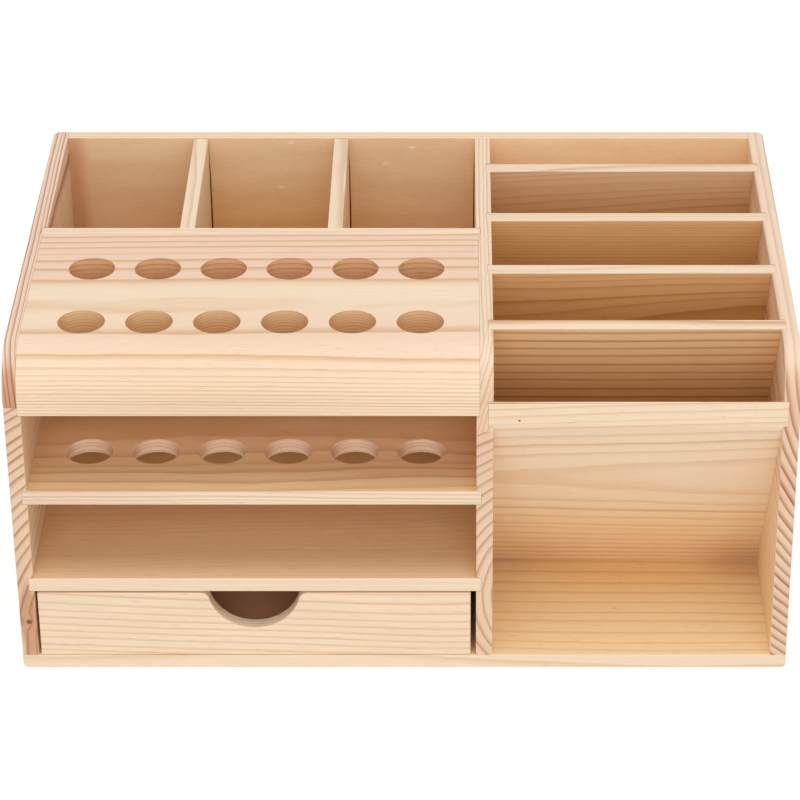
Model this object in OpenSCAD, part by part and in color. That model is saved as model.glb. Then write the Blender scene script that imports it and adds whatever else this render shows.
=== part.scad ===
// Desktop tool organiser in natural pine, with one parts drawer.
// A wide left bay holds a drilled tool block, two shelves, three bins and the drawer.
// A narrow right bay holds leaning slats over an open cubby.
// Lengths are millimetres. The origin is the middle of the underside, the front faces -Y.

/* [Case] */
// Clear width of the left bay, between its uprights
left_bay_w = 229; // [214:1:320]
// Clear width of the right bay, between its uprights
right_bay_w = 145.5; // [100:0.5:220]
// Depth of the case from front to back
case_d = 260; // [245:1:340]
// Thickness of the three uprights
upright_t = 8.5; // [7:0.5:14]
// Thickness of the base board
base_t = 8; // [6:0.5:14]
// Thickness of the back panel
back_t = 8; // [5:0.5:14]
// Radius of the rounded nose along the top of the front
nose_r = 25; // [8:1:32]
// Radius of the eased corners along the two ends of the base
base_corner_r = 2.5; // [1:0.5:5]
// Height of the top stave glued onto the left upright
left_stave_h = 27.7; // [18:0.1:60]
// Height of the top stave glued onto the middle upright
middle_stave_h = 41.5; // [18:0.1:60]

/* [Shelves and joints] */
// Height of the drawer opening
drawer_opening_h = 40; // [34:1:70]
// Clear height between the lower and the upper shelf
lower_gap_h = 45; // [25:1:80]
// Clear height between the upper shelf and the tool block
upper_gap_h = 44.5; // [25:0.5:80]
// Thickness of the shelves
shelf_t = 8; // [5:0.5:12]
// Depth of the grooves in the uprights that hold shelves, slats and bin front
housing = 2.5; // [1:0.25:3]
// Room left for glue on each side of a housed board
glue_gap = 0.1; // [0.05:0.05:0.2]

/* [Tool block] */
// Height of the drilled tool block
block_h = 32.5; // [20:0.5:60]
// Depth of the tool block from front to back
block_d = 136; // [110:1:150]
// Depth of the shallow seats in the uprights that hold the tool block
block_housing = 1.5; // [0.5:0.25:3]
// Diameter of the tool holes
hole_d = 24; // [10:0.5:30]
// Number of holes in a row
hole_count = 6; // [2:1:6]
// Distance between neighbouring holes in a row
hole_pitch = 34.4; // [31:0.2:38]
// Distance between the two rows
row_pitch = 57; // [35:1:80]

/* [Bins] */
// Thickness of the panel between the tool block and the bins
bin_front_t = 6.5; // [4:0.5:12]
// Thickness of the dividers between the bins
divider_t = 8; // [4:0.5:12]
// Gap between the dividers and the back panel
divider_gap = 0.8; // [0.2:0.1:0.9]

/* [Slats] */
// Thickness of the slats and of the slanted board above the cubby
slat_t = 8; // [4:0.5:10]
// Lean of the slats from upright, with the top towards the front
slat_tilt = 33; // [28:0.5:36]
// Distance from the front to the rear top edge of the first slat
slat_setback = 41.4; // [36:0.2:48]
// Distance between neighbouring slats along the depth
slat_pitch = 59.3; // [50:0.1:64]
// Height of the cubby opening under the slanted board
cubby_opening_h = 139.5; // [110:0.5:150]

/* [Drawer] */
// Gap between the drawer and each side of its opening
drawer_side_gap = 2.1; // [1.2:0.1:4]
// How far the drawer stands off the middle of its opening at rest
drawer_offset = -0.7; // [-1:0.1:1]
// Gap above the drawer front
drawer_top_gap = 1; // [0.5:0.1:3]
// Running gap between the drawer and the base
drawer_run_gap = 0.3; // [0.2:0.1:0.6]
// Gap between the closed drawer and the back panel
drawer_stop_gap = 0.3; // [0.2:0.1:0.9]
// Thickness of the drawer front
drawer_front_t = 8; // [6:0.5:14]
// Depth of the rabbets behind the front that take the drawer sides
drawer_lap = 4; // [2:0.5:5]
// Thickness of the drawer sides and back
drawer_wall_t = 6; // [5:0.5:10]
// How much lower than the front the drawer sides are
drawer_side_drop = 4; // [1:0.5:8]
// Thickness of the drawer bottom
drawer_bottom_t = 3; // [2:0.5:5]
// Height of the drawer bottom above the lower edge of the sides
drawer_bottom_lift = 4; // [3:0.5:6]
// Depth of the grooves that hold the drawer bottom
drawer_groove = 2.5; // [1:0.25:3]
// Radius of the thumb notch
notch_r = 24; // [10:0.5:28]
// Height of the thumb notch's centre above the drawer front
notch_rise = 2.3; // [0:0.1:4]
// Radius of the rounded shoulders beside the thumb notch
notch_shoulder_r = 5; // [1:0.5:6]

/* [Brads] */
// Diameter of a brad's shank
brad_d = 1.4; // [1:0.1:1.8]
// Diameter of a brad's head
brad_head_d = 2.2; // [2:0.1:3]
// Height of a brad's head
brad_head_h = 0.8; // [0.5:0.1:1.5]
// Length of the brads in the case
case_brad_l = 25; // [18:1:32]
// Length of the brads in the drawer
drawer_brad_l = 16; // [12:1:18]
// Room round a brad in its hole
brad_gap = 0.05; // [0.02:0.01:0.1]
// Distance from a corner to the nearest brad in the case
brad_inset = 36; // [25:1:50]

/* [Hidden] */
$fn = 64;
over = 1;

// Places across the width, from the left
case_w = 3 * upright_t + left_bay_w + right_bay_w;
left_x = -case_w / 2;
left_bay_x = left_x + upright_t;
middle_x = left_bay_x + left_bay_w;
right_bay_x = middle_x + upright_t;
right_x = right_bay_x + right_bay_w;

// Heights, from the underside up
drawer_z = base_t + drawer_run_gap;
lower_shelf_z = base_t + drawer_opening_h;
bin_floor_z = lower_shelf_z + shelf_t;
upper_shelf_z = bin_floor_z + lower_gap_h;
block_z = upper_shelf_z + shelf_t + upper_gap_h;
case_h = block_z + block_h;
cubby_top_z = base_t + cubby_opening_h;

// Distances from the front
bay_d = case_d - back_t;
front_row = (block_d - row_pitch) / 2;
hole_rows = [front_row, front_row + row_pitch];
divider_d0 = block_d + bin_front_t + 2 * glue_gap;

// Slats, counted from the back as they stand in the case
slat_run = slat_t / cos(slat_tilt);
slat_edges = [for (i = [3 : -1 : 0]) slat_setback + i * slat_pitch];
slant_edge = slat_run - (case_h - cubby_top_z) * tan(slat_tilt);

// Bins behind the tool block, parted by the two dividers
bin_count = 3;
bin_w = (left_bay_w - (bin_count - 1) * divider_t) / bin_count;

// Drawer
drawer_w = left_bay_w - 2 * drawer_side_gap;
drawer_x = left_bay_x + drawer_side_gap + drawer_offset;
drawer_h = drawer_opening_h - drawer_run_gap - drawer_top_gap;
drawer_d = bay_d - drawer_stop_gap;
drawer_side_h = drawer_h - drawer_side_drop;
drawer_lap_d = drawer_front_t - drawer_lap;
drawer_bottom_z = drawer_z + drawer_bottom_lift;
drawer_back_z = drawer_bottom_z + drawer_bottom_t + glue_gap;
drawer_top_z = drawer_z + drawer_side_h;

// Brads: the places where they are driven
upright_middles = [for (x = [left_x, middle_x, right_x]) x + upright_t / 2];
base_brad_d = [brad_inset, bay_d / 2, bay_d - brad_inset];
back_brad_z = [lower_shelf_z + shelf_t + brad_inset, case_h - brad_inset];
shelf_brad_x = [left_bay_x + brad_inset, left_bay_x + left_bay_w / 2, middle_x - brad_inset];
drawer_brad_z = [drawer_back_z + brad_head_d, drawer_top_z - 2 * brad_head_d];
drawer_brad_d = [(drawer_lap_d + drawer_front_t) / 2, drawer_d - drawer_wall_t / 2];

pine = "#f2dcb8";
pine_pink = "#eed0b4";
pine_deep = "#e6c79c";
plywood = "#dcbd90";
steel = "#8f8b85";

// Extrudes an outline drawn as (distance from the front, height) across the width
module across(x, w) {
    translate([x, -case_d / 2, 0])
        rotate([90, 0, 90])
            linear_extrude(w) children();
}

// Extrudes an outline drawn as (place across the width, height) towards the back
module facing(d, t) {
    translate([0, d + t - case_d / 2, 0])
        rotate([90, 0, 0])
            linear_extrude(t) children();
}

// A board from its low corner, given as place across, distance from the front and height
module board(x, d, z, size) {
    translate([x, d - case_d / 2, z]) cube(size);
}

// Side outline of the case above the base, with the rounded nose
module side_outline(depth) {
    translate([nose_r, base_t]) square([depth - nose_r, case_h - base_t]);
    translate([0, base_t]) square([nose_r, case_h - nose_r - base_t]);
    translate([nose_r, case_h - nose_r]) circle(r = nose_r);
}

// Leaning strip whose rear top edge lies at a distance from the front, grown by g all round
module leaning_strip(edge, g = 0) {
    top = case_h + over;
    foot = base_t - over;
    run = slat_run + 2 * g / cos(slat_tilt);
    rear = edge + g / cos(slat_tilt);
    rear_top = rear + (case_h - top) * tan(slat_tilt);
    rear_foot = rear + (case_h - foot) * tan(slat_tilt);
    polygon([[rear_top, top], [rear_foot, foot], [rear_foot - run, foot], [rear_top - run, top]]);
}

// A slat between the uprights of the right bay, its ends in their grooves
module slat(edge) {
    x = right_bay_x - housing;
    w = right_bay_w + 2 * housing;
    intersection() {
        across(x, w) leaning_strip(edge);
        across(x, w) side_outline(bay_d);
    }
}

// Room that the leaning boards take in the uprights
module slat_rooms() {
    x = right_bay_x - housing - glue_gap;
    w = right_bay_w + 2 * (housing + glue_gap);
    for (edge = concat(slat_edges, [slant_edge]))
        intersection() {
            across(x, w) leaning_strip(edge, glue_gap);
            across(x, w) translate([-over, 0]) square([bay_d + over, case_h + over]);
        }
}

// Room that a board in the left bay takes in the uprights
module left_bay_room(depth, z, h, seat, start = -over) {
    g = glue_gap;
    across(left_bay_x - seat - g, left_bay_w + 2 * (seat + g))
        translate([start - g, z - g]) square([depth - start + 2 * g, h + 2 * g]);
}

module left_bay_rooms() {
    left_bay_room(bay_d, lower_shelf_z, shelf_t, housing);
    left_bay_room(block_d, upper_shelf_z, shelf_t, housing);
    left_bay_room(block_d, block_z, block_h + over, block_housing);
    left_bay_room(
        block_d + glue_gap + bin_front_t, bin_floor_z, case_h - bin_floor_z + over, housing,
        block_d + glue_gap
    );
}

// An upright between two heights, with its grooves and the holes for its brads
module upright_slice(x, depth, z0, z1) {
    difference() {
        intersection() {
            across(x, upright_t) side_outline(depth);
            board(x, 0, z0, [upright_t, depth, z1 - z0]);
        }
        left_bay_rooms();
        slat_rooms();
        base_brad_set(brad_gap);
        back_brad_set(brad_gap);
    }
}

// One brad, driven along +Z with the top of its head at the origin, grown by g for its hole
module brad(l, g = 0) {
    tip = brad_d;
    translate([0, 0, -g]) cylinder(d = brad_head_d + 2 * g, h = brad_head_h + 2 * g);
    cylinder(d = brad_d + 2 * g, h = l - tip);
    translate([0, 0, l - tip]) cylinder(d1 = brad_d + 2 * g, d2 = brad_d / 2, h = tip + g);
}

module base_brad_set(g = 0) {
    for (x = upright_middles, d = base_brad_d)
        translate([x, d - case_d / 2, 0]) brad(case_brad_l, g);
}

module back_brad_set(g = 0) {
    for (z = back_brad_z)
        translate([middle_x + upright_t / 2, case_d / 2, z]) rotate([90, 0, 0]) brad(case_brad_l, g);
    for (x = shelf_brad_x)
        translate([x, case_d / 2, lower_shelf_z + shelf_t / 2])
            rotate([90, 0, 0]) brad(case_brad_l, g);
}

module drawer_brad_set(g = 0) {
    for (d = drawer_brad_d, z = drawer_brad_z) {
        translate([drawer_x, d - case_d / 2, z]) rotate([0, 90, 0]) brad(drawer_brad_l, g);
        translate([drawer_x + drawer_w, d - case_d / 2, z])
            rotate([0, -90, 0]) brad(drawer_brad_l, g);
    }
}

// Upright holes for tools, in one row at a distance from the front
module hole_row(d, z, h) {
    first = left_bay_x + left_bay_w / 2 - (hole_count - 1) * hole_pitch / 2;
    for (i = [0 : hole_count - 1])
        translate([first + i * hole_pitch, d - case_d / 2, z - over]) cylinder(d = hole_d, h = h + 2 * over);
}

// Outline of the thumb notch round its middle at the top of the front, with rounded shoulders
module notch_outline() {
    s = notch_shoulder_r;
    half = sqrt(pow(notch_r + s, 2) - pow(notch_rise + s, 2));
    touch = s * (notch_rise + s) / (notch_r + s) - s;
    translate([0, notch_rise]) circle(r = notch_r);
    difference() {
        translate([-half, touch]) square([2 * half, over - touch]);
        for (x = [-half, half]) translate([x, -s]) circle(r = s);
    }
}

// A side of the drawer, with the groove for its bottom
module drawer_side(x, groove_x) {
    g = glue_gap;
    d = drawer_lap_d + g;
    difference() {
        board(x, d, drawer_z, [drawer_wall_t, drawer_d - d, drawer_side_h]);
        board(
            groove_x, d - over, drawer_bottom_z - g,
            [drawer_groove + g, drawer_d + 2 * over, drawer_bottom_t + 2 * g]
        );
        drawer_brad_set(brad_gap);
    }
}

module base_board() {
    r = base_corner_r;
    color(pine)
        difference() {
            facing(0, case_d) {
                translate([left_x, r]) square([case_w, base_t - r]);
                translate([left_x + r, 0]) square([case_w - 2 * r, r]);
                for (x = [left_x + r, -left_x - r])
                    translate([x, r]) circle(r = r);
            }
            base_brad_set(brad_gap);
        }
}

module left_upright_stave() {
    color(pine_pink) upright_slice(left_x, case_d, case_h - left_stave_h, case_h);
}

module left_upright() {
    color(pine) upright_slice(left_x, case_d, base_t, case_h - left_stave_h);
}

module middle_upright_stave() {
    color(pine) upright_slice(middle_x, bay_d, case_h - middle_stave_h, case_h);
}

module middle_upright() {
    color(pine) upright_slice(middle_x, bay_d, base_t, case_h - middle_stave_h);
}

module right_upright() {
    color(pine_pink) upright_slice(right_x, case_d, base_t, case_h);
}

module back_panel() {
    color(plywood)
        difference() {
            board(left_bay_x, bay_d, base_t, [right_x - left_bay_x, back_t, case_h - base_t]);
            back_brad_set(brad_gap);
        }
}

module tool_block() {
    x = left_bay_x - block_housing;
    w = left_bay_w + 2 * block_housing;
    color(pine_pink)
        difference() {
            intersection() {
                across(x, w) side_outline(bay_d);
                board(x, 0, block_z, [w, block_d, block_h]);
            }
            for (d = hole_rows) hole_row(d, block_z, block_h);
        }
}

module upper_shelf() {
    color(pine)
        difference() {
            board(left_bay_x - housing, 0, upper_shelf_z, [left_bay_w + 2 * housing, block_d, shelf_t]);
            hole_row(front_row, upper_shelf_z, shelf_t);
        }
}

module lower_shelf() {
    color(pine)
        difference() {
            board(left_bay_x - housing, 0, lower_shelf_z, [left_bay_w + 2 * housing, bay_d, shelf_t]);
            back_brad_set(brad_gap);
        }
}

module bin_front() {
    color(pine)
        board(
            left_bay_x - housing, block_d + glue_gap, bin_floor_z,
            [left_bay_w + 2 * housing, bin_front_t, case_h - bin_floor_z]
        );
}

// A divider, counted from the left
module bin_divider(i) {
    color(pine)
        board(
            left_bay_x + i * bin_w + (i - 1) * divider_t, divider_d0, bin_floor_z,
            [divider_t, bay_d - divider_gap - divider_d0, case_h - bin_floor_z]
        );
}

module slant_board() {
    color(pine_deep) slat(slant_edge);
}

module drawer_front() {
    g = glue_gap;
    color(pine)
        difference() {
            facing(0, drawer_front_t) difference() {
                translate([drawer_x, drawer_z]) square([drawer_w, drawer_h]);
                translate([drawer_x + drawer_w / 2, drawer_z + drawer_h]) notch_outline();
            }
            for (x = [drawer_x - over, drawer_x + drawer_w - drawer_wall_t - g])
                board(
                    x, drawer_lap_d, drawer_z - over,
                    [drawer_wall_t + g + over, drawer_lap + over, drawer_side_h + g + over]
                );
            board(
                drawer_x + drawer_wall_t - over, drawer_front_t - drawer_groove - g, drawer_bottom_z - g,
                [drawer_w - 2 * drawer_wall_t + 2 * over, drawer_groove + g + over, drawer_bottom_t + 2 * g]
            );
            drawer_brad_set(brad_gap);
        }
}

module drawer_left_side() {
    color(pine) drawer_side(drawer_x, drawer_x + drawer_wall_t - drawer_groove - glue_gap);
}

module drawer_right_side() {
    x = drawer_x + drawer_w - drawer_wall_t;
    color(pine) drawer_side(x, x);
}

module drawer_back() {
    g = glue_gap;
    color(pine)
        difference() {
            board(
                drawer_x + drawer_wall_t + g, drawer_d - drawer_wall_t, drawer_back_z,
                [drawer_w - 2 * (drawer_wall_t + g), drawer_wall_t, drawer_top_z - drawer_back_z]
            );
            drawer_brad_set(brad_gap);
        }
}

module drawer_bottom() {
    x = drawer_x + drawer_wall_t - drawer_groove;
    d = drawer_front_t - drawer_groove;
    w = drawer_w - 2 * (drawer_wall_t - drawer_groove);
    color(plywood) board(x, d, drawer_bottom_z, [w, drawer_d - d, drawer_bottom_t]);
}

base_board();
left_upright_stave();
left_upright();
middle_upright_stave();
middle_upright();
right_upright();
back_panel();
tool_block();
upper_shelf();
lower_shelf();
bin_front();
bin_divider(1);  // bin_divider_left
bin_divider(2);  // bin_divider_right
color(pine) slat(slat_edges[0]);  // slat_1
color(pine) slat(slat_edges[1]);  // slat_2
color(pine) slat(slat_edges[2]);  // slat_3
color(pine) slat(slat_edges[3]);  // slat_4
slant_board();
drawer_front();
drawer_left_side();
drawer_right_side();
drawer_back();
drawer_bottom();
color(steel) base_brad_set();  // base_brads
color(steel) back_brad_set();  // back_brads
color(steel) drawer_brad_set();  // drawer_brads
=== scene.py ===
import math
from typing import NamedTuple

import bmesh
import bpy
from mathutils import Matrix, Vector


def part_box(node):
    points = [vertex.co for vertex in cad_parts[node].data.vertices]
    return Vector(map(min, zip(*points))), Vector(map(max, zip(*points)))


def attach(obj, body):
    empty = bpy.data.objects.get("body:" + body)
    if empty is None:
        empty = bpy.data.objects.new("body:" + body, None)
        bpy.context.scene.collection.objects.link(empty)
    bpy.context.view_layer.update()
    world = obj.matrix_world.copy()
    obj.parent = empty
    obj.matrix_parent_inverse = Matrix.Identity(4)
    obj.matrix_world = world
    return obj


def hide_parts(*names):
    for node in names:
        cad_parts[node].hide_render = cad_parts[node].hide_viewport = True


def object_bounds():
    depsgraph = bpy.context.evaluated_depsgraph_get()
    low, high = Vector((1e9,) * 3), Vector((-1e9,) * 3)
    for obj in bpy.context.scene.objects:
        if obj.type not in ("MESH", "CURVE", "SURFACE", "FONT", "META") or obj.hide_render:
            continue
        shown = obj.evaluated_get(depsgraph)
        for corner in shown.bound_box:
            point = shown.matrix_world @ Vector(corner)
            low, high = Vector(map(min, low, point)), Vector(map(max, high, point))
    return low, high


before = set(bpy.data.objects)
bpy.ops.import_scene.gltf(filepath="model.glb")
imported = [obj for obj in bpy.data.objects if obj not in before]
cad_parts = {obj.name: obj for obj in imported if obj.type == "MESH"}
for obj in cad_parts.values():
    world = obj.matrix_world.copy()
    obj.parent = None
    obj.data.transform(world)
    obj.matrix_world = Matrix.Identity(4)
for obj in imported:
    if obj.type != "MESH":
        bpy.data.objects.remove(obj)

bl_info = {
    "name": "Pine desktop organiser",
    "version": (1, 0, 0),
    "blender": (4, 5, 0),
    "location": "View3D > Sidebar > Organiser",
    "description": "Dresses the boards of a pine desktop organiser with eased edges and grown grain",
    "category": "Object",
}

CAD_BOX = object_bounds()
MM = 0.001
X, Y, Z = range(3)

# Points closer than the first are one point, and those within the second lie in one plane
TOUCHING = 0.001 * MM
NEAR = 0.02 * MM

# The ways that planed faces look, and the turn in degrees that lays the grain along x
SIDE = (1, 0, 0)
FRONT = (0, 1, 0)
LEVEL = (0, 0, 1)
LEANING = (0, math.cos(math.radians(33)), math.sin(math.radians(33)))
ALONG = {"across": (0, 0, 0), "deep": (0, 0, 90)}

# The tool holes and the face that the bins show of the back panel, in millimetres
HOLE_R = 12
HOLE_PITCH = 34.4
HOLE_X = [-163 + HOLE_PITCH * i for i in range(6)]
BLOCK_ROWS = (-90.5, -33.5)
PANEL_FACE = 122

# Radius of the rounded nose, and thickness of a ply
NOSE_R = 25 * MM
PLY = 1.6 * MM

# The zone that holds the thumb notch: half its width, and its height above the drawer front's lower edge
NOTCH_HALF = 29 * MM
NOTCH_RISE = 10 * MM

# Lengths that tell edges apart: a speck, a stub, the longest step of a hole's rim, and a whole edge
SPECK = 0.2 * MM
STUB = 1.8 * MM
RIM_STEP = 3 * MM
WHOLE = 20 * MM

# Angles between faces: flat enough to merge, to shade as one, and sharp enough to sand
FLAT = math.radians(0.4)
SMOOTH = math.radians(14)
SHARP = math.radians(25)

# How often a figure repeats in a millimetre, along the grain and across it
WANDER = (0.005, 0.012, 0.012)
RIPPLES = (0.02, 0.07, 0.07)
CLOUDS = (0.004, 0.02, 0.02)
FIBRES = (0.06, 1.6, 1.6)
RESIN = (0.12, 2.6, 2.6)
VENEER_FIGURE = (0.008, 0.06, 0.06)
VENEER_PORES = (0.16, 1.2, 1.2)
WIRE_DULLING = (0.9, 0.9, 0.9)

# How far apart the chance figures of two boards lie
SEED_STEP = Vector((17.3, 5.9, 11.1))

# How strongly a trait of the wood shows, 0 to 1
RED_SHARE = 0.65
RESIN_SHARE = 0.22
KNOT_SHARE = 0.9
FLECK_SHARE = 0.6
FIBRE_SHADE = 0.16
PORE_SHADE = 0.22

# Half the width and depth of the red wood round a knot, in millimetres
RED_HALF = (5.5, 60)

# The photograph's camera, the two soft lamps and the floor, in metres
CAMERA_PLACE = (0.028, -1.538, 0.9925)
CAMERA_TILT = math.radians(59.5)
CAMERA_SHIFT = -0.0722
SENSOR_MM = 36
TOP_LAMP = (0.05, -0.42, 1.90)
FRONT_LAMP = (0.05, -1.76, 0.66)
LAMP_SIZE = (1.4, 1.0)
LAMP_AIM = Vector((0, 0, 0.09))
FLOOR_SIZE = 14
FLOOR_GAP = 0.1 * MM

# What the camera sees of the floor: a faint veil that takes the shadow, over a glow
FLOOR_VEIL = (0.12, 0.12, 0.12)
FLOOR_GLOW = (0.92, 0.92, 0.92)


def paint(red, green, blue):
    """A colour as read off a screen, 0 to 255, turned into light."""
    shares = [level / 255 for level in (red, green, blue)]
    return tuple(s / 12.92 if s <= 0.04045 else ((s + 0.055) / 1.055) ** 2.4 for s in shares)


def colour_setting(name, description, shade):
    """A colour that the panel shows."""
    return bpy.props.FloatVectorProperty(
        name=name, description=description, default=shade, subtype="COLOR", size=3, min=0, max=1
    )


def length_setting(name, description, millimetres):
    """A length that the panel shows."""
    return bpy.props.FloatProperty(
        name=name, description=description, default=millimetres * MM, unit="LENGTH", min=0, precision=4
    )


class OrganiserSizes(bpy.types.PropertyGroup):
    """How far the edges, rims and corners are sanded"""

    edge_ease: length_setting("Edge ease", "Width of the sanded edge along a board", 0.6)
    rim_ease: length_setting("Rim ease", "Width of the sanded rim round a hole in the shelf", 0.7)
    block_rim_ease: length_setting("Block rim ease", "Width of the rim round a hole in the block", 0.25)
    panel_ease: length_setting("Panel ease", "Width of the sanded edge of a plywood panel", 0.4)
    corner_ease: length_setting("Corner ease", "Radius of the outer corners at the back", 4.0)


class OrganiserColours(bpy.types.PropertyGroup):
    """Colours of the pine, the plywood and the brads"""

    pale_wood: colour_setting("Pale wood", "Spring growth of the pine", paint(250, 226, 196))
    blush_wood: colour_setting("Blush wood", "Spring growth nearer the heart", paint(246, 212, 187))
    line_wood: colour_setting("Line wood", "Summer growth, the dark lines", paint(222, 174, 122))
    heart_line: colour_setting("Heart line", "Summer growth nearer the heart", paint(164, 100, 70))
    red_wood: colour_setting("Red wood", "Resin-rich wood round a knot", paint(206, 146, 106))
    # Two tints of painted warm shade: for broad faces inside, deep zones and hole walls, and for the cubby
    planed_tint: colour_setting("Planed tint", "Warmth of planed faces beside sanded edges", (1.0, 0.9, 0.71))
    cubby_shade_tint: colour_setting("Golden tint", "Warmth of the cubby's planed faces", (1.0, 0.97, 0.69))
    end_tint: colour_setting("End tint", "Deeper colour of the end grain", (0.92, 0.84, 0.78))
    knot_wood: colour_setting("Knot wood", "Knots and resin", paint(122, 76, 50))
    dark_joint: colour_setting("Dark joint", "Shadow in the joints beside the bins", paint(120, 62, 36))
    veneer: colour_setting("Veneer", "Face of the back panel's plywood", paint(249, 217, 177))
    red_veneer: colour_setting("Red veneer", "Face of the drawer bottom's plywood", paint(252, 200, 160))
    veneer_fleck: colour_setting("Veneer fleck", "Darker figure of the plywood", (0.86, 0.77, 0.65))
    fresh_chip: colour_setting("Fresh chip", "Bare wood in a chip of the veneer", paint(255, 236, 204))
    brad_steel: colour_setting("Brad steel", "Bright wire of the brads", paint(170, 166, 160))
    dull_steel: colour_setting("Dull steel", "Wire of the brads where it has dulled", paint(120, 112, 104))


class OrganiserStage(bpy.types.PropertyGroup):
    """Camera, light and floor"""

    lens: bpy.props.FloatProperty(
        name="Lens", description="Focal length of the camera", default=147, min=20, unit="CAMERA"
    )
    top_light: bpy.props.FloatProperty(
        name="Top light", description="Power of the soft light overhead, in watts", default=10.5, min=0
    )
    front_light: bpy.props.FloatProperty(
        name="Front light", description="Power of the soft light in front, in watts", default=7.3, min=0
    )
    room_light: bpy.props.FloatProperty(
        name="Room light", description="Strength of the even light all round", default=0.6, min=0
    )
    floor: colour_setting("Floor", "Colour of the pale floor", (0.86, 0.86, 0.86))


class Wire:
    """One value inside a finish. Sums of wires and numbers add their own Math nodes."""

    def __init__(self, finish, socket):
        self.finish = finish
        self.socket = socket

    def sum_of(self, operation, first, second=0.0):
        return self.finish.add("ShaderNodeMath", {"operation": operation}, {0: first, 1: second})

    def __add__(self, other):
        return self.sum_of("ADD", self, other)

    def __sub__(self, other):
        return self.sum_of("SUBTRACT", self, other)

    def __mul__(self, other):
        return self.sum_of("MULTIPLY", self, other)

    def __truediv__(self, other):
        return self.sum_of("DIVIDE", self, other)

    def __radd__(self, other):
        return self.sum_of("ADD", other, self)

    def __rsub__(self, other):
        return self.sum_of("SUBTRACT", other, self)

    def __rmul__(self, other):
        return self.sum_of("MULTIPLY", other, self)

    def __rtruediv__(self, other):
        return self.sum_of("DIVIDE", other, self)

    def __abs__(self):
        return self.sum_of("ABSOLUTE", self)

    def root(self):
        return self.sum_of("SQRT", self)

    def whole(self):
        return self.sum_of("FLOOR", self)

    def larger(self, other):
        return self.sum_of("MAXIMUM", self, other)

    def smaller(self, other):
        return self.sum_of("MINIMUM", self, other)


class Finish:
    """The finish of a material or a world: nodes are added to it, and the last one is its surface."""

    def __init__(self, owner):
        owner.use_nodes = True
        self.owner = owner
        self.tree = owner.node_tree
        self.tree.nodes.clear()

    def add(self, kind, settings, sockets, out=0):
        """Adds a node of a kind, makes its settings first, and fills or links its sockets."""
        node = self.tree.nodes.new(kind)
        for key, value in settings.items():
            setattr(node, key, value)
        for key, value in sockets.items():
            socket = find_socket(node.inputs, key)
            if isinstance(value, Wire):
                self.tree.links.new(value.socket, socket)
            else:
                socket.default_value = value
        return Wire(self, find_socket(node.outputs, out))

    def coords(self, kind="Object"):
        return self.add("ShaderNodeTexCoord", {}, {}, kind)

    def local(self, middle, unit, turned=(0, 0, 0)):
        """Object coordinates counted from a middle, turned, in units of their own."""
        return self.add(
            "ShaderNodeMapping", {"vector_type": "TEXTURE"},
            {"Vector": self.coords(), "Location": middle, "Rotation": turned, "Scale": unit}
        )

    def dot(self, vector, way):
        return self.add("ShaderNodeVectorMath", {"operation": "DOT_PRODUCT"}, {0: vector, 1: way}, "Value")

    def scaled(self, vector, factors):
        return self.add("ShaderNodeVectorMath", {"operation": "MULTIPLY"}, {0: vector, 1: factors})

    def moved(self, vector, offset):
        return self.add("ShaderNodeVectorMath", {"operation": "ADD"}, {0: vector, 1: offset})

    def split(self, vector):
        first = self.add("ShaderNodeSeparateXYZ", {}, {"Vector": vector})
        return [Wire(self, first.socket.node.outputs[axis]) for axis in (X, Y, Z)]

    def noise(self, vector, detail, roughness=0.5, out="Fac"):
        return self.add(
            "ShaderNodeTexNoise", {"noise_dimensions": "3D"},
            {"Vector": vector, "Scale": 1.0, "Detail": detail, "Roughness": roughness}, out
        )

    def noise_line(self, place):
        return self.add(
            "ShaderNodeTexNoise", {"noise_dimensions": "1D"}, {"W": place, "Scale": 1.0, "Detail": 2.0}
        )

    def luck(self, number):
        return self.add("ShaderNodeTexWhiteNoise", {"noise_dimensions": "1D"}, {"W": number}, "Value")

    def ease(self, value, start, end):
        """0 before start, 1 after end, and a smooth way between them."""
        return self.add(
            "ShaderNodeMapRange", {"interpolation_type": "SMOOTHSTEP"},
            {"Value": value, "From Min": start, "From Max": end}
        )

    def blend(self, share, first, second, way="MIX"):
        return self.add(
            "ShaderNodeMix", {"data_type": "RGBA", "blend_type": way},
            {"Factor_Float": share, "A_Color": solid(first), "B_Color": solid(second)}, "Result_Color"
        )

    def shaded(self, colour, level):
        """A colour made darker or lighter by one level in all its parts."""
        grey = self.add("ShaderNodeCombineXYZ", {}, {0: level, 1: level, 2: level})
        return self.blend(1.0, colour, grey, "MULTIPLY")

    def bump(self, height, strength, depth):
        sockets = {"Strength": strength, "Distance": depth, "Height": height}
        return self.add("ShaderNodeBump", {}, sockets, "Normal")

    def surface(self, sockets):
        shader = self.add("ShaderNodeBsdfPrincipled", {}, sockets)
        self.add("ShaderNodeOutputMaterial", {}, {"Surface": shader}, None)
        return self.owner


def find_socket(sockets, key):
    """A socket by its number, its identifier or its name."""
    if key is None:
        return None
    if isinstance(key, int):
        return sockets[key]
    for socket in sockets:
        if socket.identifier == key:
            return socket
    return sockets[key]


def solid(shade):
    """A colour as a socket takes it, with its fourth part, or the wire that brings one."""
    return shade if isinstance(shade, Wire) else (*tuple(shade)[:3], 1.0)


class Knot(NamedTuple):
    """A knot, how far it pushes the rings aside, and half the height of the red wood round it."""

    place: tuple
    size: float
    push: float
    red: float = 0.0


class Mark(NamedTuple):
    """A stain, chip, painted joint shadow or zone of painted shade: its place, half its size, its colour,
    strength, fade and way of mixing.
    """

    place: tuple
    half: tuple
    shade: str
    strength: float
    fade: float = 0.25
    way: str = "MIX"


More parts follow.
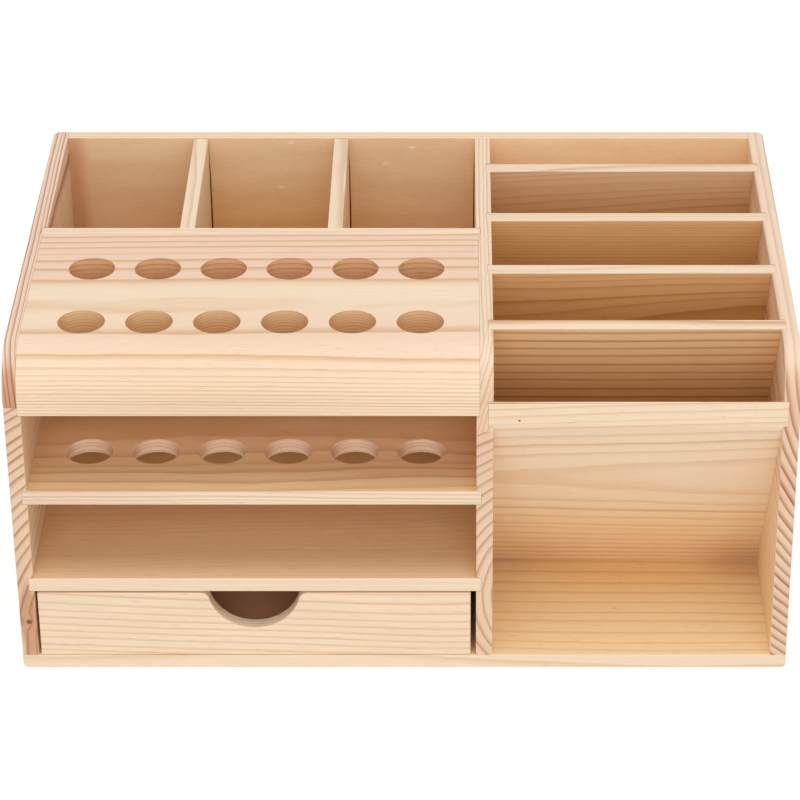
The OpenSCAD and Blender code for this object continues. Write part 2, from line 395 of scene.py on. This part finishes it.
class Timber(NamedTuple):
    """How one board was cut from its tree, in millimetres and degrees.

    grain is the way the trunk runs, heart the place of its middle across that way, and ring a year's width.
    young is a radius and how much years crowd inside it. swing and climb turn the trunk. sway, ripple and
    spread are how far the trunk wanders, the rings ripple and the years differ in width.
    lines is how dark summer lines are, calm how much paler off the end grain, width their share of a year,
    uneven how much they differ, and heat how red they are. blush reddens the spring wood, all of it past
    blush_from. face is the planed side, and warm how much of its tint, a painted warm shade, it takes.
    bores are the rows of tool holes through it, whose walls take painted shade, and seed sets the chance
    figure of this board apart from the others.
    """

    grain: str
    heart: tuple
    ring: float
    young: tuple = ()
    swing: float = 0.0
    climb: float = 0.0
    sway: float = 7.0
    ripple: float = 0.6
    spread: float = 1.2
    lines: float = 0.75
    calm: float = 0.0
    width: float = 0.5
    uneven: float = 0.6
    heat: float = 0.15
    blush: float = 0.25
    blush_from: float = 999.0
    face: tuple = LEVEL
    warm: float = 0.0
    tint: str = "planed_tint"
    knots: tuple = ()
    marks: tuple = ()
    bores: tuple = ()
    seed: int = 0


def warmer(place, half, strength):
    """A wide zone of painted warm shade, darker and warmer deep inside."""
    return Mark(place, half, "planed_tint", strength, 0.8, "MULTIPLY")


def corner_shade_blotch(place, half, strength):
    """A soft red patch of painted shade, where the cubby's floor and slanted board meet."""
    return Mark(place, half, "red_wood", strength, 0.9)


def chip(x, z):
    """A fresh chip in the veneer of the back panel."""
    return Mark((x, PANEL_FACE, z), (2.4, 3, 0.9), "fresh_chip", 0.85)


def tree_place(finish, node, timber):
    """Object coordinates turned into the tree: along the trunk, and across it from the heart."""
    low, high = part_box(node)
    middle = (low + high) / 2
    first, second = (value * MM for value in timber.heart)
    heart = (middle.x, first, second) if timber.grain == "across" else (first, middle.y, second)
    turn = zip(ALONG[timber.grain], (0, timber.climb, timber.swing))
    return finish.local(heart, (MM, MM, MM), [math.radians(a + b) for a, b in turn])


def pine(node, timber, colours):
    """Solid pine. Year rings grow round the heart, so faces, edges and end grain agree."""
    finish = Finish(bpy.data.materials.new(f"pine_{node}"))
    trunk = tree_place(finish, node, timber)
    seed = SEED_STEP * timber.seed
    side, up = finish.split(trunk)[1:]

    def grown(repeats, detail, roughness=0.5, out="Fac"):
        return finish.noise(finish.moved(finish.scaled(trunk, repeats), seed), detail, roughness, out)

    # The trunk wanders slowly, and the rings ripple
    drift = finish.split(grown(WANDER, 1.0, 0.4, "Color"))
    side = side + (drift[0] - 0.5) * (2 * timber.sway)
    up = up + (drift[1] - 0.5) * (2 * timber.sway)
    small = grown(RIPPLES, 2.0)
    radius = (side * side + up * up).root() + (small - 0.5) * (2 * timber.ripple)

    # Knots push the rings aside, and the wood round them is red
    black = 0.0
    red = 0.0
    for knot in timber.knots:
        if knot.size:
            away = nearness(finish, knot.place, [knot.size] * 3)
            radius = radius + (1 - finish.ease(away, 0.0, 4.0)) * knot.push
            black = black + (1 - finish.ease(away, 0.5, 1.15))
        if knot.red:
            stained = nearness(finish, knot.place, (*RED_HALF, knot.red))
            red = red + (1 - finish.ease(stained + (small - 0.5) * 0.8, 0.6, 1.05))

    # Wide and narrow years, and how dark each summer was
    wide = finish.noise_line(radius * (0.35 / timber.ring) + timber.seed) - 0.5
    years = radius / timber.ring + wide * timber.spread
    if timber.young:
        reach, crowding = timber.young
        years = years - (reach - radius).larger(0.0) * crowding
    year = years.whole()
    season = years - year
    summer = finish.ease(season, 0.94 - timber.width, 0.92) * (1 - finish.ease(season, 0.93, 1.0))
    strength = 1 - finish.luck(year + timber.seed * 31.0) * timber.uneven
    normal = finish.coords("Normal")
    facing = finish.split(normal)[X if timber.grain == "across" else Y]
    end = finish.ease(abs(facing), 0.6, 0.95)
    strength = strength * (1 - (1 - end) * timber.calm)
    dark = summer * (summer * 0.5 + 0.5) * strength * timber.lines

    # Fibres, and short resin marks along them
    fibre = grown(FIBRES, 3.0, 0.6)
    resin = finish.ease(grown(RESIN, 0.0), 0.74, 0.82)

    # Large clouds of warmer wood, and a band of blush to one side
    cloud = grown(CLOUDS, 1.0)
    band = finish.ease(side, timber.blush_from - 8, timber.blush_from + 8)
    blush = (finish.ease(cloud, 0.35, 0.7) * timber.blush + band).smaller(1.0)
    pale = finish.blend(blush, colours.pale_wood, colours.blush_wood)
    heat = (finish.luck(year + 7.0) * 0.3 + timber.heat).smaller(1.0)
    line = finish.blend(heat, colours.line_wood, colours.heart_line)
    if timber.knots:
        pale = finish.blend(red * RED_SHARE, pale, colours.red_wood)
    wood = finish.blend(dark, pale, line)
    wood = finish.blend(resin * RESIN_SHARE, wood, colours.knot_wood)
    if timber.knots:
        wood = finish.blend(black * KNOT_SHARE, wood, colours.knot_wood)

    # End grain drinks light, and the broad planed faces, unlike the sanded edges, take a warm painted shade
    wood = finish.blend(end, wood, colours.end_tint, "MULTIPLY")
    # Painted shade on the walls of the tool holes, partly the deeper colour of their rough end grain
    if timber.bores:
        wood = finish.blend(bored(finish, timber.bores), wood, colours.planed_tint, "MULTIPLY")
    # Painted warm shade on the broad faces, strongest on the boards that stand inside
    if timber.warm:
        planed = finish.ease(abs(finish.dot(normal, timber.face)), 0.7, 0.95) * timber.warm
        wood = finish.blend(planed, wood, getattr(colours, timber.tint), "MULTIPLY")
    wood = marked(finish, wood, timber.marks, colours)
    return finish.surface({
        "Base Color": finish.shaded(wood, 1.0 - (fibre - 0.5) * FIBRE_SHADE),
        "Roughness": 0.66 - dark * 0.14 + (fibre - 0.5) * 0.1,
        "Normal": finish.bump(dark * 0.6 + fibre * 0.7, 0.25, 0.12 * MM),
        "Specular IOR Level": 0.3,
    })


def nearness(finish, place, half):
    """Distance from a mark in the wood, 1 where its half width, depth and height end."""
    away = finish.local([value * MM for value in place], [value * MM for value in half])
    return finish.add("ShaderNodeVectorMath", {"operation": "LENGTH"}, {0: away}, "Value")


def marked(finish, wood, marks, colours, ragged=0.0):
    """The wood with its stains, chips, painted joint shadows and zones of painted shade; ragged roughens
    their outlines.
    """
    for mark in marks:
        away = nearness(finish, mark.place, mark.half) + ragged
        share = 1 - finish.ease(away, 1 - mark.fade, 1.0)
        wood = finish.blend(share * mark.strength, wood, getattr(colours, mark.shade), mark.way)
    return wood


def bored(finish, rows):
    """1 on the walls of the tool holes, 0 elsewhere."""
    x, y = finish.split(finish.local((0, 0, 0), (MM, MM, MM)))[:2]
    number = ((x - HOLE_X[0]) / HOLE_PITCH + 0.5).whole().larger(0.0).smaller(len(HOLE_X) - 1.0)
    aside = x - HOLE_X[0] - number * HOLE_PITCH
    ahead = abs(y - rows[0]).smaller(abs(y - rows[1]))
    away = (aside * aside + ahead * ahead).root()
    return 1 - finish.ease(away, HOLE_R, HOLE_R + 0.2)


def plywood(node, colours, veneer, face_way, marks=()):
    """Plywood: a veneer whose soft figure runs across, its marks, and the plies along the edges."""
    finish = Finish(bpy.data.materials.new(f"plywood_{node}"))
    low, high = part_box(node)
    face = finish.local((low + high) / 2, (MM, MM, MM))
    figure = finish.noise(finish.scaled(face, VENEER_FIGURE), 3.0)
    cloud = finish.ease(figure, 0.3, 0.75)
    pores = finish.noise(finish.scaled(face, VENEER_PORES), 3.0, 0.6)
    wood = finish.blend(cloud * FLECK_SHARE, veneer, colours.veneer_fleck, "MULTIPLY")
    wood = marked(finish, wood, marks, colours, (figure - 0.5) * 0.4)

    # Every other ply is darker, and they show along the edges only
    square = finish.dot(finish.coords("Normal"), face_way)
    pair = finish.dot(finish.coords(), face_way) / (2 * PLY)
    ply = pair - pair.whole()
    dark_ply = finish.ease(ply, 0.45, 0.55) * (1 - finish.ease(ply, 0.93, 1.0))
    layers = finish.blend(dark_ply * FLECK_SHARE, colours.pale_wood, colours.veneer_fleck, "MULTIPLY")
    wood = finish.blend(1 - finish.ease(abs(square), 0.6, 0.9), wood, layers)
    return finish.surface({
        "Base Color": finish.shaded(wood, 1.0 - (pores - 0.5) * PORE_SHADE),
        "Roughness": 0.6 + (pores - 0.5) * 0.12,
        "Normal": finish.bump(pores, 0.2, 0.1 * MM),
        "Specular IOR Level": 0.3,
    })


def brad_wire(colours):
    """Drawn steel wire, slightly dulled."""
    finish = Finish(bpy.data.materials.new("brad_wire"))
    dull = finish.noise(finish.scaled(finish.local((0, 0, 0), (MM, MM, MM)), WIRE_DULLING), 3.0)
    shade = finish.blend(finish.ease(dull, 0.4, 0.75), colours.brad_steel, colours.dull_steel)
    return finish.surface({
        "Base Color": shade, "Metallic": 1.0, "Roughness": 0.3 + dull * 0.25,
    })


def settle():
    """Back to object mode with nothing selected."""
    if bpy.context.object is not None and bpy.context.object.mode != "OBJECT":
        bpy.ops.object.mode_set(mode="OBJECT")
    bpy.ops.object.select_all(action="DESELECT")


def take_board(node):
    """A copy of a CAD board, merged and cleaned to plain faces, open in edit mode."""
    settle()
    board = bpy.data.objects.new(f"dressed_{node}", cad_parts[node].data.copy())
    bpy.context.scene.collection.objects.link(board)
    bpy.context.view_layer.objects.active = board
    board.select_set(True)
    bpy.ops.object.mode_set(mode="EDIT")
    bpy.ops.mesh.select_mode(type="EDGE")
    bpy.ops.mesh.select_all(action="SELECT")
    bpy.ops.mesh.remove_doubles(threshold=TOUCHING)
    bpy.ops.mesh.dissolve_limited(angle_limit=FLAT)
    bpy.ops.mesh.select_all(action="DESELECT")
    return board


def sand(board, width, wanted, segments=3):
    """Eases the edges for which wanted(middle, run, edge) is true."""
    mesh = bmesh.from_edit_mesh(board.data)
    count = 0
    for edge in mesh.edges:
        first, second = (vert.co for vert in edge.verts)
        keep = edge.is_manifold and edge.is_convex and edge.calc_face_angle() > SHARP
        keep = keep and wanted((first + second) / 2, second - first, edge)
        edge.select_set(bool(keep))
        count += bool(keep)
    bmesh.update_edit_mesh(board.data)
    if not count:
        raise RuntimeError(f"no edges to sand on {board.name}")
    bpy.ops.mesh.bevel(offset=width, segments=segments, profile=0.5, affect="EDGES", clamp_overlap=False)
    bpy.ops.mesh.select_all(action="DESELECT")


def in_plane(edge, axis, level):
    """True where both ends of an edge lie at one level of an axis."""
    return all(abs(vert.co[axis] - level) < NEAR for vert in edge.verts)


def on_faces(edge, axis, low, high):
    """How many of the board's two faces across an axis an edge lies in."""
    return in_plane(edge, axis, low[axis]) + in_plane(edge, axis, high[axis])


def box_sides(edge, low, high):
    """How many sides of the board's box an edge lies in."""
    return sum(on_faces(edge, axis, low, high) for axis in (X, Y, Z))


def hang(board, body, finish):
    """Smooths the eased edges, gives the board its finish, and joins it to the part."""
    settle()
    bpy.context.view_layer.objects.active = board
    board.select_set(True)
    bpy.ops.object.shade_smooth_by_angle(angle=SMOOTH)
    board.data.materials.clear()
    board.data.materials.append(finish)
    node = board.name.removeprefix("dressed_")
    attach(board, body)
    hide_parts(node)
    settle()


def dress(node, body, timber, sizes, colours, wanted=None, extra=None):
    """A board with its outer edges eased and its grain grown.

    wanted picks among the outer edges by the way they run, and extra is work done before the sanding.
    """
    low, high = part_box(node)

    def outer(middle, run, edge):
        return run.length > STUB and box_sides(edge, low, high) >= 2 and (wanted is None or wanted(run))

    board = take_board(node)
    if extra:
        extra(board)
    sand(board, sizes.edge_ease, outer)
    hang(board, body, pine(node, timber, colours))


def sand_hole_rims(board, rows, width):
    """Eases the rims of the tool holes, above and below."""
    centres = [(x * MM, y * MM) for x in HOLE_X for y in rows]

    def rim(middle, run, edge):
        if abs(run.z) > NEAR or run.length > RIM_STEP:
            return False
        for x, y in centres:
            if all(abs(math.hypot(v.co.x - x, v.co.y - y) - HOLE_R * MM) < NEAR for v in edge.verts):
                return True
        return False

    sand(board, width, rim)


def along_x(run):
    """True where an edge runs from side to side."""
    return abs(run.x) > abs(run.y) + abs(run.z)


def along_y(run):
    """True where an edge runs from front to back."""
    return abs(run.y) > abs(run.x) + abs(run.z)


class ORGANISER_OT_base_board(bpy.types.Operator):
    """Dress the base board"""

    bl_idname = "organiser.base_board"
    bl_label = "Base board"

    MARKS = (
        # Painted warm shade at the back of the cubby floor
        warmer((120, -45, 8), (90, 35, 30), 0.6),
        # Painted red shade in the corner where the floor meets the slanted board
        corner_shade_blotch((72, -40, 8), (60, 20, 20), 0.12),
        corner_shade_blotch((180, -40, 8), (30, 26, 20), 0.25),
    )

    def execute(self, context):
        timber = Timber("across", (-400, -200), 7.7, climb=1.5, lines=0.55, width=0.4, spread=0.8,
                        uneven=0.4, heat=-0.2, blush=0.0, warm=0.6, tint="cubby_shade_tint",
                        knots=(Knot((111.9, -86.3, 8), 0.5, 0.4),),
                        marks=self.MARKS, seed=1)
        low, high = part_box("base_board")

        def outline(middle, run, edge):
            return on_faces(edge, Y, low, high) and run.length > SPECK

        board = take_board("base_board")
        sand(board, context.scene.organiser_sizes.edge_ease, outline)
        hang(board, "case", pine("base_board", timber, context.scene.organiser_colours))
        return {"FINISHED"}


class ORGANISER_OT_uprights(bpy.types.Operator):
    """Dress the three uprights and the staves glued on top of two of them"""

    bl_idname = "organiser.uprights"
    bl_label = "Uprights"

    TIMBERS = {
        "left_upright_stave": Timber(
            "deep", (-346, 156), 2.2, lines=1.0, calm=0.15, heat=0.75, uneven=0.4, spread=0.6, blush=0.9,
            width=0.6, sway=2, face=SIDE, warm=0.6, knots=(Knot((-196, -130, 160), 0, 0, 26),), seed=2),
        "left_upright": Timber(
            "deep", (-110, 15), 4.9, lines=0.95, calm=0.6, heat=0.45, uneven=0.3, spread=0.6, blush=0.5,
            sway=2, face=SIDE, warm=0.5, knots=(Knot((-195.3, -130, 28.9), 1.7, 2.5, 30),), seed=3),
        "middle_upright_stave": Timber(
            "deep", (184, 120), 2.4, lines=0.7, blush=0.6, sway=2, face=SIDE, warm=0.8, seed=4),
        "middle_upright": Timber(
            "deep", (90, 45), 5.0, lines=0.85, heat=0.4, uneven=0.4, spread=0.8, blush=0.7, sway=2,
            face=SIDE, warm=0.8, seed=5),
        "right_upright": Timber(
            "deep", (339, 190), 4.5, lines=1.0, calm=0.6, heat=0.6, uneven=0.25, spread=0.5, blush=0.8,
            width=0.65, sway=2, face=SIDE, warm=0.5, seed=6),
    }

    def execute(self, context):
        sizes = context.scene.organiser_sizes
        colours = context.scene.organiser_colours
        nose_y = CAD_BOX[0].y + NOSE_R
        nose_z = CAD_BOX[1].z - NOSE_R
        # A little more than the rounding of a rear corner takes up
        corner = 1.1 * sizes.corner_ease
        seams = [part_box(node)[0].z for node in self.TIMBERS]
        for node, timber in self.TIMBERS.items():
            low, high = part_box(node)

            def outline(middle, run, edge):
                if run.length < 0.5 * STUB:
                    return False
                on_nose = on_faces(edge, X, low, high) and all(
                    abs(math.hypot(v.co.y - nose_y, v.co.z - nose_z) - NOSE_R) < NEAR
                    and v.co.y < nose_y + NEAR and v.co.z > nose_z - NEAR
                    for v in edge.verts
                )
                on_corner = all(
                    abs(v.co.z - high.z) < NEAR and v.co.y > high.y - corner
                    and abs(v.co.x - outer_x) < corner
                    for v in edge.verts
                )
                seam = min(abs(middle.z - height) for height in seams) < NEAR
                return on_nose or ((on_corner or box_sides(edge, low, high) >= 2) and not seam)

            def rear_corner(middle, run, edge):
                return in_plane(edge, X, outer_x) and in_plane(edge, Y, high.y)

            board = take_board(node)
            outer_x = low.x if node.startswith("left") else high.x
            if not node.startswith("middle"):
                sand(board, sizes.corner_ease, rear_corner, 6)
            sand(board, sizes.edge_ease, outline)
            hang(board, "case", pine(node, timber, colours))
        return {"FINISHED"}


class ORGANISER_OT_back_panel(bpy.types.Operator):
    """Dress the plywood back panel"""

    bl_idname = "organiser.back_panel"
    bl_label = "Back panel"

    MARKS = (
        # Painted warm shade low in the bins
        warmer((-77, PANEL_FACE, 110), (150, 10, 65), 1.0),
        Mark((-191, PANEL_FACE, 140), (13, 3, 130), "red_wood", 0.6, 0.7),
        chip(-66, 183),
        chip(-72, 155),
        chip(-13, 170),
        chip(2, 180),
    )

    def execute(self, context):
        low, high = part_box("back_panel")
        board = take_board("back_panel")
        sand(board, context.scene.organiser_sizes.panel_ease,
             lambda middle, run, edge: along_x(run) and box_sides(edge, low, high) >= 2)
        beside = (
            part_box("bin_divider_left")[1].x,
            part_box("bin_divider_right")[1].x,
            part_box("middle_upright")[0].x,
        )
        # Painted shadow lines in the joints beside the bins
        joint_shadows = tuple(
            Mark((x / MM, PANEL_FACE, 120), (0.95, 3, 66), "dark_joint", 1.0) for x in beside
        )
        colours = context.scene.organiser_colours
        veneer = plywood("back_panel", colours, colours.veneer, FRONT, self.MARKS + joint_shadows)
        hang(board, "case", veneer)
        return {"FINISHED"}


class ORGANISER_OT_tool_block(bpy.types.Operator):
    """Dress the drilled tool block"""

    bl_idname = "organiser.tool_block"
    bl_label = "Tool block"

    MARKS = (
        Mark((-77, -69.5, 186), (175, 12, 8), "pale_wood", 0.55, 0.6),
        # Darker toward the block's underside and front, in the colour of the end grain
        Mark((-77, -100, 150), (170, 70, 60), "end_tint", 0.55, 0.8, "MULTIPLY"),
    )

    def execute(self, context):
        sizes = context.scene.organiser_sizes
        timber = Timber("across", (-73, 35.5), 2.6, young=(149, 0.22), swing=0.7, sway=0.8, ripple=0.3,
                        spread=0.3, lines=1.0, width=0.5, heat=-0.15, blush=0.45, blush_from=24,
                        marks=self.MARKS, bores=BLOCK_ROWS, seed=7)
        dress("tool_block", "case", timber, sizes, context.scene.organiser_colours, along_x,
              lambda board: sand_hole_rims(board, BLOCK_ROWS, sizes.block_rim_ease))
        return {"FINISHED"}


class ORGANISER_OT_shelves(bpy.types.Operator):
    """Dress the drilled upper shelf and the plain lower shelf"""

    bl_idname = "organiser.shelves"
    bl_label = "Shelves"

    def execute(self, context):
        sizes = context.scene.organiser_sizes
        colours = context.scene.organiser_colours
        upper = Timber("across", (-62, -100), 2.2, swing=0.6, sway=4, lines=0.6, width=0.7, heat=0.25,
                       blush=0.8, warm=1.0, seed=8)
        lower = Timber("across", (20, -120), 2.4, swing=1.0, lines=0.25, heat=-0.2, warm=0.9, seed=9)
        dress("upper_shelf", "case", upper, sizes, colours, along_x,
              lambda board: sand_hole_rims(board, BLOCK_ROWS[:1], sizes.rim_ease))
        dress("lower_shelf", "case", lower, sizes, colours, along_x)
        return {"FINISHED"}


class ORGANISER_OT_bins(bpy.types.Operator):
    """Dress the panel and the dividers of the three bins"""

    bl_idname = "organiser.bins"
    bl_label = "Bins"

    TIMBERS = {
        "bin_front": Timber("across", (-60, 80), 2.5, lines=0.5, seed=10, face=FRONT, warm=1.0),
        "bin_divider_left": Timber("deep", (-160, 60), 3.0, sway=2, lines=0.5, seed=11, face=SIDE, warm=0.6),
        "bin_divider_right": Timber("deep", (-90, 40), 3.0, sway=2, lines=0.5, seed=12, face=SIDE, warm=0.6),
    }

    def execute(self, context):
        for node, timber in self.TIMBERS.items():
            dress(node, "case", timber, context.scene.organiser_sizes, context.scene.organiser_colours)
        return {"FINISHED"}


class ORGANISER_OT_slats(bpy.types.Operator):
    """Dress the four leaning slats"""

    bl_idname = "organiser.slats"
    bl_label = "Leaning slats"

    TIMBERS = {
        "slat_1": Timber("across", (40, 60), 3.6, swing=2.0, climb=-1.5, sway=8, lines=0.5, blush=0.7,
                         face=LEANING, warm=0.3, seed=13),
        "slat_2": Timber("across", (-223, 342), 3.0, sway=4, lines=0.4, width=0.6,
                         face=LEANING, warm=1.0, seed=14),
        "slat_3": Timber("across", (-90, 60), 4.0, swing=1.5, sway=10, lines=0.65, face=LEANING, warm=1.0,
                         # Painted warm shade low on slat_3, deep in its slot
                         marks=(warmer((118, 10, 110), (140, 70, 60), 0.6),), seed=15),
        "slat_4": Timber("across", (-203, 349), 9.0, sway=4, lines=1.0, width=0.4, uneven=0.3, spread=0.5,
                         face=LEANING, warm=1.0,
                         # Painted warm shade low on slat_4, deep in its slot
                         marks=(warmer((118, -40, 95), (140, 70, 75), 1.0),), seed=16),
    }

    def execute(self, context):
        for node, timber in self.TIMBERS.items():
            board = take_board(node)
            sand(board, context.scene.organiser_sizes.edge_ease,
                 lambda middle, run, edge: along_x(run) and run.length > WHOLE)
            hang(board, "case", pine(node, timber, context.scene.organiser_colours))
        return {"FINISHED"}


class ORGANISER_OT_slant_board(bpy.types.Operator):
    """Dress the slanted board over the cubby"""

    bl_idname = "organiser.slant_board"
    bl_label = "Slanted board"

    MARKS = (
        # Painted warm shade low in the cubby
        warmer((118, -50, 30), (150, 90, 85), 0.7),
        # Painted red shade in the corner where the board meets the floor
        corner_shade_blotch((66, -42, 18), (42, 40, 36), 0.18),
        corner_shade_blotch((180, -40, 16), (30, 40, 36), 0.3),
    )

    def execute(self, context):
        timber = Timber("across", (-197.2, 33.5), 3.5, swing=0.97, climb=-0.62, sway=3, lines=0.7,
                        heat=-0.15, face=LEANING, warm=0.1, tint="cubby_shade_tint",
                        knots=(Knot((59, -130, 151), 0.7, 0.6),), marks=self.MARKS, seed=17)
        board = take_board("slant_board")
        low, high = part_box("slant_board")
        sizes = context.scene.organiser_sizes
        sand(board, 0.5 * sizes.edge_ease, lambda middle, run, edge: along_x(run) and middle.z > high.z - MM)
        sand(board, 2 * sizes.edge_ease,
             lambda middle, run, edge: along_x(run) and low.z + MM < middle.z < high.z - 2 * MM)
        hang(board, "case", pine("slant_board", timber, context.scene.organiser_colours))
        return {"FINISHED"}


class ORGANISER_OT_drawer(bpy.types.Operator):
    """Dress the drawer: front with its thumb notch, sides, back and bottom"""

    bl_idname = "organiser.drawer"
    bl_label = "Drawer"

    TIMBERS = {
        "drawer_left_side": Timber("deep", (-230, 60), 3.0, face=SIDE, warm=1.0, seed=19),
        "drawer_right_side": Timber("deep", (80, 50), 3.0, face=SIDE, warm=1.0, seed=20),
        "drawer_back": Timber("across", (60, 80), 3.0, face=FRONT, warm=1.0, seed=21),
    }

    def execute(self, context):
        sizes = context.scene.organiser_sizes
        colours = context.scene.organiser_colours
        self.front(sizes, colours)
        for node, timber in self.TIMBERS.items():
            dress(node, "drawer", timber, sizes, colours, along_x if node == "drawer_back" else along_y)
        board = take_board("drawer_bottom")
        low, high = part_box("drawer_bottom")
        sand(board, sizes.panel_ease, lambda middle, run, edge: box_sides(edge, low, high) >= 2)
        veneer = plywood("drawer_bottom", colours, colours.red_veneer, LEVEL)
        hang(board, "drawer", veneer)
        return {"FINISHED"}

    def front(self, sizes, colours):
        """The front, eased all round and along its notch."""
        low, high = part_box("drawer_front")
        timber = Timber("across", (6, 103), 2.1, climb=1.5, sway=3, ripple=0.3, lines=0.6, uneven=0.3,
                        spread=0.6, heat=-0.25, seed=18)
        board = take_board("drawer_front")
        notch_x = (low.x + high.x) / 2

        def outline(middle, run, edge):
            above = middle.z > low.z + NOTCH_RISE
            on_notch = on_faces(edge, Y, low, high) and above and abs(middle.x - notch_x) < NOTCH_HALF
            return on_notch or (run.length > STUB and box_sides(edge, low, high) >= 2)

        sand(board, sizes.edge_ease, outline)
        hang(board, "drawer", pine("drawer_front", timber, colours))


class ORGANISER_OT_brads(bpy.types.Operator):
    """Give the brads their steel"""

    bl_idname = "organiser.brads"
    bl_label = "Brads"

    def execute(self, context):
        wire = brad_wire(context.scene.organiser_colours)
        for node in ("base_brads", "back_brads", "drawer_brads"):
            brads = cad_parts[node]
            for slot in brads.material_slots:
                slot.material = wire
        return {"FINISHED"}


class ORGANISER_OT_stage(bpy.types.Operator):
    """Set the pale floor, the soft light and the camera"""

    bl_idname = "organiser.stage"
    bl_label = "Stage"

    def execute(self, context):
        stage = context.scene.organiser_stage
        settle()
        bpy.ops.object.camera_add(location=CAMERA_PLACE, rotation=(CAMERA_TILT, 0, 0))
        camera = context.object
        camera.name = "photo_camera"
        camera.data.lens = stage.lens
        camera.data.sensor_width = SENSOR_MM
        camera.data.shift_x = CAMERA_SHIFT
        context.scene.camera = camera
        self.soft_light("soft_top_light", TOP_LAMP, stage.top_light)
        self.soft_light("soft_front_light", FRONT_LAMP, stage.front_light)
        self.floor(stage)
        self.room(context.scene, stage)
        context.scene.view_settings.view_transform = "Standard"
        settle()
        return {"FINISHED"}

    def soft_light(self, name, place, watts):
        """A wide lamp that looks at the middle of the part."""
        bpy.ops.object.light_add(type="AREA", location=place)
        lamp = bpy.context.object
        lamp.name = name
        lamp.data.shape = "RECTANGLE"
        lamp.data.size, lamp.data.size_y = LAMP_SIZE
        lamp.data.energy = watts
        aim = LAMP_AIM - lamp.location
        lamp.rotation_euler = aim.to_track_quat("-Z", "Y").to_euler()

    def seen(self, finish):
        """1 where the camera, a mirror or glass looks straight at the surface."""
        path = finish.add("ShaderNodeLightPath", {}, {}, "Is Camera Ray").socket.node
        camera, glossy, through = (
            Wire(finish, path.outputs[name])
            for name in ("Is Camera Ray", "Is Glossy Ray", "Is Transmission Ray")
        )
        return camera.larger(glossy).larger(through)

    def floor(self, stage):
        """A pale floor that takes the part's shadow and looks white to the camera."""
        bpy.ops.mesh.primitive_plane_add(size=FLOOR_SIZE, location=(0, 0, CAD_BOX[0].z - FLOOR_GAP))
        floor = bpy.context.object
        floor.name = "pale_floor"
        finish = Finish(bpy.data.materials.new("pale_floor"))
        matt = finish.add("ShaderNodeBsdfDiffuse", {}, {"Color": solid(stage.floor)})
        veil = finish.add("ShaderNodeBsdfDiffuse", {}, {"Color": solid(FLOOR_VEIL)})
        glow = finish.add("ShaderNodeEmission", {}, {"Color": solid(FLOOR_GLOW), "Strength": 1.0})
        white = finish.add("ShaderNodeAddShader", {}, {0: veil, 1: glow})
        mixed = finish.add("ShaderNodeMixShader", {}, {0: self.seen(finish), 1: matt, 2: white})
        finish.add("ShaderNodeOutputMaterial", {}, {"Surface": mixed}, None)
        floor.data.materials.append(finish.owner)

    def room(self, scene, stage):
        """Even light all round, white where it is seen."""
        finish = Finish(bpy.data.worlds.new("white_room"))
        strength = self.seen(finish) * (1 - stage.room_light) + stage.room_light
        back = finish.add("ShaderNodeBackground", {}, {"Color": (1, 1, 1, 1), "Strength": strength})
        finish.add("ShaderNodeOutputWorld", {}, {"Surface": back}, None)
        scene.world = finish.owner


class ORGANISER_PT_build(bpy.types.Panel):
    """The steps of the build, in order"""

    bl_label = "Organiser"
    bl_space_type = "VIEW_3D"
    bl_region_type = "UI"
    bl_category = "Organiser"

    def draw(self, context):
        for step in STEPS:
            self.layout.operator(step.bl_idname)
        for group in ("organiser_sizes", "organiser_colours", "organiser_stage"):
            settings = getattr(context.scene, group)
            box = self.layout.box()
            for key in settings.bl_rna.properties.keys():
                if key not in ("rna_type", "name"):
                    box.prop(settings, key)


STEPS = (
    ORGANISER_OT_base_board,
    ORGANISER_OT_uprights,
    ORGANISER_OT_back_panel,
    ORGANISER_OT_tool_block,
    ORGANISER_OT_shelves,
    ORGANISER_OT_bins,
    ORGANISER_OT_slats,
    ORGANISER_OT_slant_board,
    ORGANISER_OT_drawer,
    ORGANISER_OT_brads,
    ORGANISER_OT_stage,
)
SETTINGS = {
    "organiser_sizes": OrganiserSizes,
    "organiser_colours": OrganiserColours,
    "organiser_stage": OrganiserStage,
}


def register():
    """Adds the settings, the steps and the panel to Blender."""
    for group in SETTINGS.values():
        bpy.utils.register_class(group)
    for name, group in SETTINGS.items():
        setattr(bpy.types.Scene, name, bpy.props.PointerProperty(type=group))
    for step in STEPS:
        bpy.utils.register_class(step)
    bpy.utils.register_class(ORGANISER_PT_build)


def unregister():
    """Takes the panel, the steps and the settings away again."""
    bpy.utils.unregister_class(ORGANISER_PT_build)
    for step in reversed(STEPS):
        bpy.utils.unregister_class(step)
    for name, group in SETTINGS.items():
        delattr(bpy.types.Scene, name)
        bpy.utils.unregister_class(group)


def main():
    register()
    bpy.ops.organiser.base_board()
    bpy.ops.organiser.uprights()
    bpy.ops.organiser.back_panel()
    bpy.ops.organiser.tool_block()
    bpy.ops.organiser.shelves()
    bpy.ops.organiser.bins()
    bpy.ops.organiser.slats()
    bpy.ops.organiser.slant_board()
    bpy.ops.organiser.drawer()
    bpy.ops.organiser.brads()
    bpy.ops.organiser.stage()


if __name__ == "__main__":
    main()
